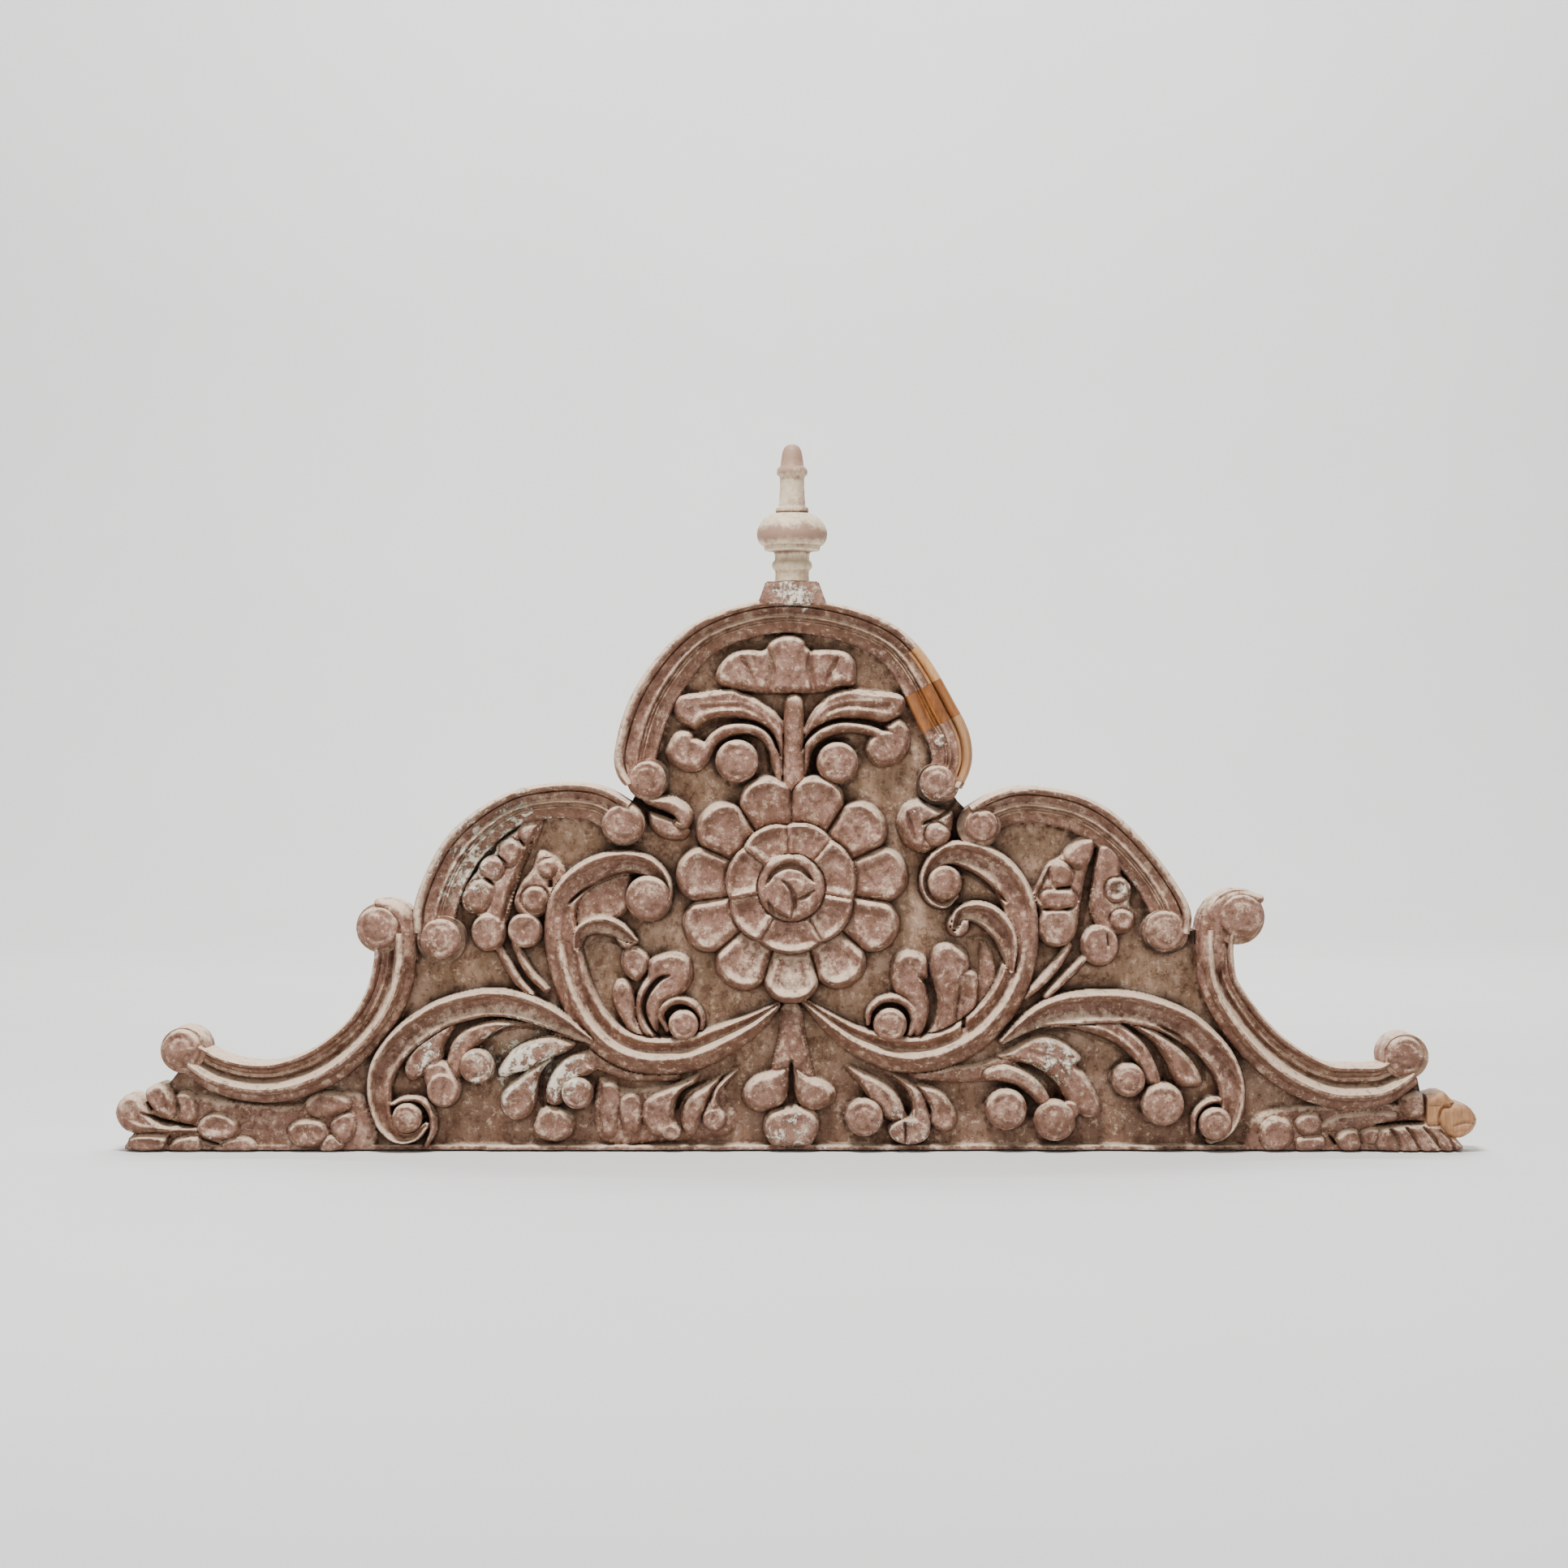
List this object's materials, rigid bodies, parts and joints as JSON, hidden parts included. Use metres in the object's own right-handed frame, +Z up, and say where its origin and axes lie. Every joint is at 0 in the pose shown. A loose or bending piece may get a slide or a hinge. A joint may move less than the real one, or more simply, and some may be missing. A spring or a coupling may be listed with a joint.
{
  "type": "carved wooden door pediment",
  "caption": "Carved and painted wooden crest that stands over a doorway, with scrolled outline, mouldings, rosette, leaf scrolls and a turned finial",
  "frame": {"origin": "On the flat underside, on the centre line of the carving and in the middle of the depth of the ledge that the crest stands on", "axes": "+X to the right along the length, +Y to the back towards the wall, +Z up; the carved face looks to -Y"},
  "size_m": [1.3002, 0.0682, 0.6735],
  "materials": {
    "worn_paint": "matt red-brown paint, rubbed to pale wood on every edge",
    "cream_paint": "matt cream paint over red-brown, worn",
    "new_wood": "bare new softwood, unpainted",
    "dark_new_wood": "new softwood stained brown"
  },
  "bodies": {
    "root": {"carved_panel": "worn_paint", "finial": "cream_paint", "arch_block": "dark_new_wood", "arch_upper_strip": "new_wood", "arch_lower_strip": "new_wood", "leaf_tip": "new_wood"}
  },
  "joints": []
}
